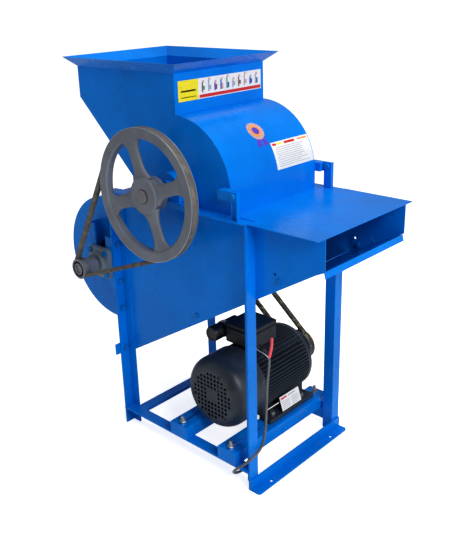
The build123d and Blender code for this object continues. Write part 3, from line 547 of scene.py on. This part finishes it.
def motor_cowl():
    low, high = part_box("motor_cowl")
    r, front, rear = (high.x - low.x) / 2, low.y, high.y
    face_r, wall, crown_depth, steps = 0.078, 0.0022, 0.042, 12
    bm = bmesh.new()
    crown = [(face_r, front)]
    for i in range(1, steps + 1):
        a = radians(90 * i / steps)
        crown.append((face_r + (r - face_r) * sin(a) ** 0.9, front + crown_depth * (1 - cos(a)) ** 0.9))
    outer = crown + [(r, rear)]
    inner = [(p - wall, y + (wall if y < rear - 0.01 else 0)) for p, y in reversed(outer)]
    inner[-1] = (face_r, front + wall)
    lathe(bm, outer + inner, MOTOR, 96)
    perforated_disc(bm, MOTOR, face_r, hole_places(0.0136, 0.020, 0.0725), 0.0049, front, front + wall)
    piece = add_piece("motor_cowl_pressing", bm, LOOKS["cowl_black"], "root", 30)
    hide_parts("motor_cowl")
    bm = bmesh.new()
    for a in (20, 110, 200, 290):
        out = Vector((cos(radians(a)), 0, sin(radians(a))))
        spot = Vector((MOTOR.x, rear - 0.012, MOTOR.z))
        round_bar(bm, spot + out * (r - 0.004), spot + out * (r - 0.0001), 0.0045, 12)
    add_piece("motor_cowl_screws", bm, LOOKS["zinc"], "root")


def motor_body():
    """Cast shell with level fins on its sides and upright ones on top and below, on two feet."""
    low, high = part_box("motor_body")
    y0, y1 = low.y + 0.001, high.y - 0.001
    bm = bmesh.new()
    shell, bore = 0.094, 0.088
    lathe(bm, [(bore, y0 + 0.012), (shell, y0 + 0.012), (shell, y1), (bore, y1)], MOTOR, 96)
    for y in (y0 + 0.004, y1 - 0.010):
        lathe(bm, [(bore, y), (shell + 0.008, y), (shell + 0.008, y + 0.009), (bore, y + 0.009)], MOTOR, 96)
    tip, half, pitch, level, upright = 0.107, 0.0014, 0.0098, 8, 7
    fin_y0, fin_y1 = y0 + 0.008, y1 - 0.004
    for i in range(-level, level + 1):
        z = i * pitch
        reach, root = sqrt(tip**2 - z**2), sqrt(max(shell**2 - z**2, 0.0004)) - 0.003
        for side in (-1, 1):
            a, b = sorted((side * root, side * reach))
            brick(bm, (MOTOR.x + a, fin_y0, MOTOR.z + z - half), (MOTOR.x + b, fin_y1, MOTOR.z + z + half))
            if abs(i) < upright:
                x = MOTOR.x + z
                brick(bm, (x - half, fin_y0, MOTOR.z + a), (x + half, fin_y1, MOTOR.z + b))
    piece = add_piece("motor_body_casting", bm, LOOKS["motor_black"], "root", 30, 0.0006, 1)
    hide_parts("motor_body")
    bm = bmesh.new()
    base = low.z
    for side in (-1, 1):
        a, b = sorted((side * 0.120, side * 0.073))
        brick(bm, (MOTOR.x + a, low.y + 0.010, base), (MOTOR.x + b, low.y + 0.222, base + 0.014))
        a, b = sorted((side * 0.084, side * 0.046))
        for y in (low.y + 0.014, low.y + 0.110, low.y + 0.196):
            brick(bm, (MOTOR.x + a, y, base + 0.010), (MOTOR.x + b, y + 0.016, base + 0.058))
        a, b = sorted((side * 0.068, side * 0.050))
        brick(bm, (MOTOR.x + a, low.y + 0.014, base + 0.010), (MOTOR.x + b, low.y + 0.212, base + 0.054))
    add_piece("motor_feet", bm, LOOKS["motor_black"], "root", 30, bevel=0.002)


def rounded_box(name, low, high, look, bevel):
    bm = bmesh.new()
    brick(bm, low, high)
    return add_piece(name, bm, LOOKS[look], "root", bevel=bevel, segments=4)


def terminal_box():
    """A box with a lid a little wider than itself, held by four screws."""
    low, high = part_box("terminal_box")
    right, seam, inset = high.x - 0.016, high.z - 0.016, 0.001
    base_high = (right - inset, high.y - inset, seam)
    base = rounded_box("terminal_box_base", low + Vector((inset, inset, 0)), base_high, "box_black", 0.006)
    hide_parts("terminal_box")
    rounded_box("terminal_box_lid", (low.x, low.y, seam + inset), (right, high.y, high.z), "box_black", 0.005)
    bm = bmesh.new()
    for x in (low.x + 0.010, right - 0.010):
        for y in (low.y + 0.010, high.y - 0.010):
            round_bar(bm, Vector((x, y, high.z - 0.003)), Vector((x, y, high.z - 0.0004)), 0.0035, 12)
    add_piece("terminal_box_screws", bm, LOOKS["zinc"], "root")


def capacitor():
    """A can with a rolled front rim and a pale strap that clamps it to the box."""
    low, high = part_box("capacitor")
    r, centre_r = 0.0238, 0.0001
    x, z = low.x + 0.024, (low.z + high.z) / 2
    centre = Vector((x, 0, z))
    bm = bmesh.new()
    rear = high.y - 0.0005
    can = [(centre_r, low.y + 0.002), (r - 0.008, low.y + 0.002), (r - 0.006, low.y), (r - 0.002, low.y)]
    can += [(r, low.y + 0.003), (r, high.y - 0.005), (r - 0.005, rear), (centre_r, rear)]
    lathe(bm, can, centre, 48)
    piece = add_piece("capacitor_can", bm, LOOKS["capacitor"], "root")
    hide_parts("capacitor")
    strap_r, y0, y1 = r + 0.0022, low.y + 0.05, low.y + 0.064
    bm = bmesh.new()
    lathe(bm, [(r - 0.001, y0), (strap_r, y0), (strap_r, y1), (r - 0.001, y1)], centre, 48)
    brick(bm, (x + 0.012, y0 + 0.002, z - 0.028), (x + 0.018, y1 - 0.002, z - 0.010))
    add_piece("capacitor_strap", bm, BEIGE, "root", bevel=0.0005)


# Labels

PAPER_LIFT, PRINT_LIFT = 0.0002, 0.0004


def add_label(name, bm, tones):
    bmesh.ops.remove_doubles(bm, verts=bm.verts, dist=1e-7)
    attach(add_mesh(name, bm, [PRINT[tone] for tone in tones]), "root")


def decal(name, place, patches, rows):
    """A printed label: patches (u0, u1, v0, v1, tone) on a surface given by place(u, v, lift)."""
    tones = sorted({patch[4] for patch in patches})
    bm = bmesh.new()
    for level, (u0, u1, v0, v1, tone) in enumerate(patches):
        lift = PAPER_LIFT if level == 0 else PRINT_LIFT
        heights = [v0 + (v1 - v0) * j / rows for j in range(rows + 1)]
        for low, high in zip(heights, heights[1:]):
            corners = [(u0, low), (u1, low), (u1, high), (u0, high)]
            face = bm.faces.new([bm.verts.new(place(u, v, lift)) for u, v in corners])
            face.material_index = tones.index(tone)
    add_label(name, bm, tones)


def hopper_label():
    """A wide strip: plain yellow block, a row of small generic pictures, and a red band below."""
    wall_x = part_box("hopper_front_wall")[1].x
    y0, y1, z0, z1 = 16, 347, 1057, 1111

    def place(u, v, lift):
        p = at(0, y0 + (y1 - y0) * u, z0 + (z1 - z0) * v)
        return Vector((wall_x + lift, p.y, p.z))

    patches = [(0, 1, 0, 1, "white"), (0, 0.225, 0, 1, "yellow"), (0.235, 0.995, 0.04, 0.20, "red")]
    patches += [(0.03, 0.195, 0.44, 0.52, "orange"), (0.03, 0.195, 0.16, 0.20, "orange")]
    tones = ("brown", "grey", "violet", "blue", "green", "grey", "brown", "rose", "blue", "grey")
    first, pitch = 0.265, 0.073
    for i, tone in enumerate(tones):
        u = first + pitch * i
        tall = 0.78 + 0.1 * sin(i * 2.1)
        patches.append((u, u + 0.016, 0.30, tall, tone))
        patches.append((u + 0.016, u + 0.036, 0.36 + 0.05 * cos(i), 0.60, tones[(i + 4) % len(tones)]))
        patches.append((u + 0.006, u + 0.028, tall - 0.02, tall + 0.10, "rose"))
    decal("hopper_label", place, patches, 1)


def on_drum(y, angle, lift):
    """A point over the drum cover: y in metres and the angle up from level in radians."""
    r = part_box("drum_cover")[1].x - ROTOR.x + lift
    return Vector((ROTOR.x + r * cos(angle), y, ROTOR.z + r * sin(angle)))


def instruction_label():
    """A white sheet on the drum's front with coloured headings and grey lines."""
    y0, y1, low, high = 194, 355.5, 10.1, 33

    def place(u, v, lift):
        return on_drum(at(0, y0 + (y1 - y0) * u, 0).y, radians(low + (high - low) * v), lift)

    patches = [(0, 1, 0, 1, "white"), (0.03, 0.13, 0.87, 0.95, "red"), (0.16, 0.27, 0.87, 0.95, "yellow")]
    patches += [(0.34, 0.62, 0.86, 0.95, "red"), (0.70, 0.96, 0.88, 0.94, "orange")]
    for i in range(10):
        v = 0.10 + 0.074 * i
        patches.append((0.07, 0.90 - 0.2 * abs(sin(i * 1.7)), v, v + 0.018, "grey"))
    decal("drum_instruction_label", place, patches, 8)


def rosette():
    """A round badge in four layers, with two ribbon ends below it."""
    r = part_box("drum_cover")[1].x - ROTOR.x
    centre_y, centre_a = at(0, 168, 0).y, radians(46.5)
    out = Vector((cos(centre_a), 0, sin(centre_a)))
    tones = ("rose", "orange", "violet", "grey")
    bm = bmesh.new()

    def spot(across, up, lift):
        return bm.verts.new(on_drum(centre_y + across, centre_a + up / r, lift))

    def disc(radius, wave, lift, tone):
        count, bands, waves = 72, 5, 18
        turns = [2 * pi * k / count for k in range(count)]
        rings = []
        for j in range(1, bands + 1):
            ripple = wave if j == bands else 0
            reach = [radius * j / bands * (1 + ripple * cos(waves * a)) for a in turns]
            rings.append([spot(q * cos(a), q * sin(a), lift) for q, a in zip(reach, turns)])
        faces = [rings[0]]
        for low, high in zip(rings, rings[1:]):
            faces += [(low[k - 1], low[k], high[k], high[k - 1]) for k in range(count)]
        for corners in faces:
            bm.faces.new(corners).material_index = tones.index(tone)

    def ribbon(side, steps=8):
        rows = []
        for k in range(steps + 1):
            t = k / steps
            edges = (0.001 + 0.003 * t) * side, (0.013 + 0.010 * t) * side
            rows.append([spot(u, -0.018 - 0.030 * t, 0.0003) for u in edges])
        for low, high in zip(rows, rows[1:]):
            bm.faces.new((low[0], low[1], high[1], high[0])).material_index = tones.index("violet")

    ribbon(-1)
    ribbon(1)
    disc(0.0280, 0.05, 0.0004, "rose")
    disc(0.0225, 0.0, 0.0006, "grey")
    disc(0.0195, 0.04, 0.0008, "orange")
    disc(0.0120, 0.0, 0.0010, "violet")
    for face in bm.faces:
        face.normal_update()
        if face.normal.dot(out) < 0:
            face.normal_flip()
    add_label("drum_rosette", bm, tones)


def motor_plate():
    """The rating plate, which leans over the motor's front foot."""
    low_edge, high_edge = Vector((-70, 200, 118)), Vector((-84, 200, 160))
    width, thick = 92, Vector((0.0016, 0, 0.0005))
    out = Vector((0.95, 0, 0.3)) * 2

    def place(u, v, lift):
        return at(*low_edge.lerp(high_edge, v) + Vector((0, width * u, 0))) + out * lift

    patches = [(0, 1, 0, 1, "white"), (0.05, 0.35, 0.78, 0.90, "red"), (0.42, 0.78, 0.80, 0.88, "grey")]
    for i in range(5):
        v = 0.12 + 0.12 * i
        patches += [(0.06, 0.44, v, v + 0.03, "grey"), (0.54, 0.90, v, v + 0.03, "grey")]
    decal("motor_rating_label", place, patches, 1)
    bm = bmesh.new()
    corners = [place(u, v, 0) for u, v in ((-0.02, -0.04), (1.02, -0.04), (1.02, 1.04), (-0.02, 1.04))]
    loft(bm, [[p - thick for p in corners], corners])
    add_piece("motor_rating_plate", bm, LOOKS["motor_black"], "root")


# Cord

# Points from the terminal box to the coil, in metres from the datum.
CORD_ROUTE = [
    (-0.118, 0.150, 0.340),
    (-0.090, 0.148, 0.342),
    (-0.066, 0.134, 0.332),
    (-0.053, 0.114, 0.303),
    (-0.046, 0.098, 0.265),
    (-0.040, 0.088, 0.222),
    (-0.030, 0.074, 0.180),
    (-0.014, 0.050, 0.146),
    (0.004, 0.016, 0.126),
    (0.014, -0.022, 0.120),
    (0.004, -0.056, 0.104),
    (-0.026, -0.062, 0.076),
    (-0.050, -0.052, 0.048),
    (-0.064, -0.020, 0.020),
    (-0.070, 0.024, 0.008),
    (-0.082, 0.072, 0.005),
    (-0.108, 0.112, 0.005),
    (-0.146, 0.146, 0.005),
    (-0.176, 0.184, 0.005),
    (-0.214, 0.214, 0.005),
    (-0.246, 0.252, 0.005),
    (-0.278, 0.282, 0.005),
]
CORD_D = 0.008
# The coil's first and last angles, and each turn's radius and height.
COIL_START, COIL_END = 45, 180
COIL_OUT, COIL_IN = 0.052, 0.044
COIL_LEVELS = (0.005, 0.012, 0.0195)
COIL_SLOTS = (
    (COIL_OUT, COIL_LEVELS[0]),
    (COIL_IN, COIL_LEVELS[0]),
    (COIL_IN, COIL_LEVELS[1]),
    (COIL_OUT, COIL_LEVELS[1]),
    (COIL_IN, COIL_LEVELS[2]),
    (COIL_OUT, COIL_LEVELS[2]),
)


def coil_turns(centre):
    """Points of the neat turns: each turn keeps its place in the bundle and steps over near its end."""
    last = len(COIL_SLOTS) - 1
    turns = last + (COIL_END - COIL_START) / 360
    per_turn, step_share = 16, 0.2
    count = int(turns * per_turn)
    points = []
    for i in range(count + 1):
        t = turns * i / count
        k = min(floor(t), last)
        after = COIL_SLOTS[min(k + 1, last)]
        step = max(0, (t - k - 1 + step_share) / step_share)
        ease = step * step * (3 - 2 * step)
        r, z = (a + (b - a) * ease for a, b in zip(COIL_SLOTS[k], after))
        a = radians(COIL_START) + 2 * pi * t
        points.append(centre + Vector((r * cos(a), r * sin(a), z)))
    return points


def power_cord():
    low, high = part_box("cable_coil")
    centre = Vector(((low.x + high.x) / 2, (low.y + high.y) / 2, 0))
    points = [DATUM + Vector(p) for p in CORD_ROUTE] + coil_turns(centre)
    last = points[-1]
    points += [last + Vector((0, -0.010, -0.002)), last + Vector((0, -0.021, -0.005))]
    curve = bpy.data.curves.new("motor_lead", "CURVE")
    curve.dimensions = "3D"
    spline = curve.splines.new("NURBS")
    spline.points.add(len(points) - 1)
    for slot, p in zip(spline.points, points):
        slot.co = (*p, 1)
    spline.order_u = 3
    spline.use_endpoint_u = True
    curve.resolution_u = 6
    curve.bevel_depth = CORD_D / 2
    curve.bevel_resolution = 4
    curve.use_fill_caps = True
    curve.materials.append(LOOKS["cord"])
    lead = add_object("motor_lead", curve)
    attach(lead, "root")
    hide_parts("motor_cable", "cable_coil")
    tie = coil_tie(centre)
    pieces = [tie, frame["nodes"]["cable_plug"], strain_relief(points[0]), *loose_wires()]


def coil_tie(centre):
    """A flat tie drawn round the bundle on its side towards the rear."""
    bm = bmesh.new()
    a = radians(290)
    out = Vector((cos(a), sin(a), 0))
    along = Vector((-sin(a), cos(a), 0))
    middle = centre + out * 0.048 + Vector((0, 0, 0.0125))
    section = [(0.0015, -0.0022), (0.0015, 0.0022), (0.0003, 0.0022), (0.0003, -0.0022)]
    rings = []
    steps = 32
    for i in range(steps):
        t = 2 * pi * i / steps
        u, v = soft_square(t, 0.0082, 0.0112, 0.5, 0.5)
        way = (out * cos(t) + Vector((0, 0, sin(t)))).normalized()
        rings.append([middle + out * u + Vector((0, 0, v)) + way * d + along * w for d, w in section])
    loft(bm, rings, closed=True)
    return add_piece("coil_tie", bm, DARK, "root")


def strain_relief(exit_point):
    """A tapered rubber sleeve with ribs where the lead leaves the terminal box."""
    bm = bmesh.new()
    x = exit_point.x
    profile = [(0.0042, x - 0.002), (0.0095, x - 0.002), (0.0095, x + 0.003)]
    for i in range(5):
        t = x + 0.004 + 0.004 * i
        r = 0.0085 - 0.0007 * i
        profile += [(r, t), (r, t + 0.0022), (r - 0.0012, t + 0.0026), (r - 0.0012, t + 0.0036)]
    profile.append((0.0042, x + 0.026))
    lathe(bm, profile, exit_point, 32, "X")
    return add_piece("lead_strain_relief", bm, DARK, "root")


def loose_wires():
    """The earth wire and a red sleeved end beside the lead."""
    made = []
    sleeve = [(-66, 131, 332), (-66, 138, 349), (-70, 148, 366), (-77, 157, 381)]
    wire = [(-65, 128, 332), (-66, 122, 341), (-78, 122, 345), (-102, 128, 344), (-132, 140, 343)]
    for name, spots, r, material in (
        ("red_sleeve", sleeve, 0.0048, RED_SLEEVE),
        ("pale_wire", wire, 0.0013, WHITE_WIRE),
    ):
        bm = bmesh.new()
        tube(bm, smooth_line([at(*p) for p in spots]), r)
        made.append(add_piece(name, bm, material, "root"))
    return made


def smooth_line(points, steps=6):
    """A Catmull-Rom line through the points."""
    ends = [points[0] * 2 - points[1], *points, points[-1] * 2 - points[-2]]
    line = []
    for a, b, c, d in zip(ends, ends[1:], ends[2:], ends[3:]):
        square, cube = 2 * a - 5 * b + 4 * c - d, 3 * b - a - 3 * c + d
        for i in range(steps):
            t = i / steps
            line.append(0.5 * (2 * b + (c - a) * t + square * t**2 + cube * t**3))
    return line + [points[-1]]


# Surroundings

CAMERA_ROLL = -1.7


def aimed(eye, target):
    """The turn that points a camera or lamp at eye towards target."""
    return (target - eye).to_track_quat("-Z", "Y").to_matrix().to_4x4()


def camera():
    scene = bpy.context.scene
    scene.view_settings.view_transform = "Standard"
    scene.view_settings.look = "Medium High Contrast"
    scene.render.resolution_x, scene.render.resolution_y = 948, 1084
    eye, target = at(1143, -1318, 1344), at(-497.6, 411.5, 446)
    lens = bpy.data.cameras.new("camera")
    lens.sensor_fit, lens.sensor_width, lens.sensor_height = "VERTICAL", 36, 36
    lens.lens, lens.shift_x, lens.shift_y = 48.85, 0.0232, -0.0188
    stand = add_object("camera", lens)
    roll = Matrix.Rotation(radians(CAMERA_ROLL), 4, "Z")
    stand.matrix_world = Matrix.Translation(eye) @ aimed(eye, target) @ roll
    scene.camera = stand


def camera_ray(tree):
    """1 where the camera looks straight at something, 0 for light that bounces."""
    return Value(tree, tree.nodes.new("ShaderNodeLightPath").outputs["Is Camera Ray"])


def light():
    """A bright white backdrop that lights the mill only a little, and three lamps."""
    world = bpy.data.worlds.new("world")
    bpy.context.scene.world = world
    world.use_nodes = True
    sky = world.node_tree.nodes["Background"]
    sky.inputs["Color"].default_value = (0.97, 0.98, 1.0, 1)
    feed(world.node_tree, sky.inputs["Strength"], camera_ray(world.node_tree) * 0.65 + 0.3)
    middle = Vector((0, 0, 0.6))
    for name, spot, size, power in (
        ("key", (3.2, -0.9, 2.7), 1.5, 84),
        ("fill", (-1.4, -3.2, 1.6), 2.0, 2.5),
        ("top", (0.4, 0.5, 3.6), 2.0, 34),
    ):
        lamp = bpy.data.lights.new(name, "AREA")
        lamp.size, lamp.energy = size, power
        eye = Vector(spot)
        add_object(name, lamp).matrix_world = Matrix.Translation(eye) @ aimed(eye, middle)


def pale_floor():
    """A near-white floor that glows a little, so that it meets the backdrop without an edge."""
    s = Surface("pale floor")
    s.set(Base_Color=s.mix(s.noise(0.7, 2), (0.90, 0.90, 0.90), (0.93, 0.93, 0.93)), Roughness=0.9)
    glow = s.mix(camera_ray(s.tree), (0.1, 0.1, 0.1), (1.0, 1.0, 1.0))
    s.set(Emission_Color=glow, Emission_Strength=0.62)
    half = 30
    bm = bmesh.new()
    corners = [(-half, -half), (half, -half), (half, half), (-half, half)]
    bm.faces.new([bm.verts.new((x, y, 0)) for x, y in corners])
    add_mesh("floor", bm, [s.material])


dress_cad()
pulleys_and_belts()
motor_cowl()
motor_body()
terminal_box()
capacitor()
hopper_label()
instruction_label()
rosette()
motor_plate()
power_cord()
camera()
light()
pale_floor()
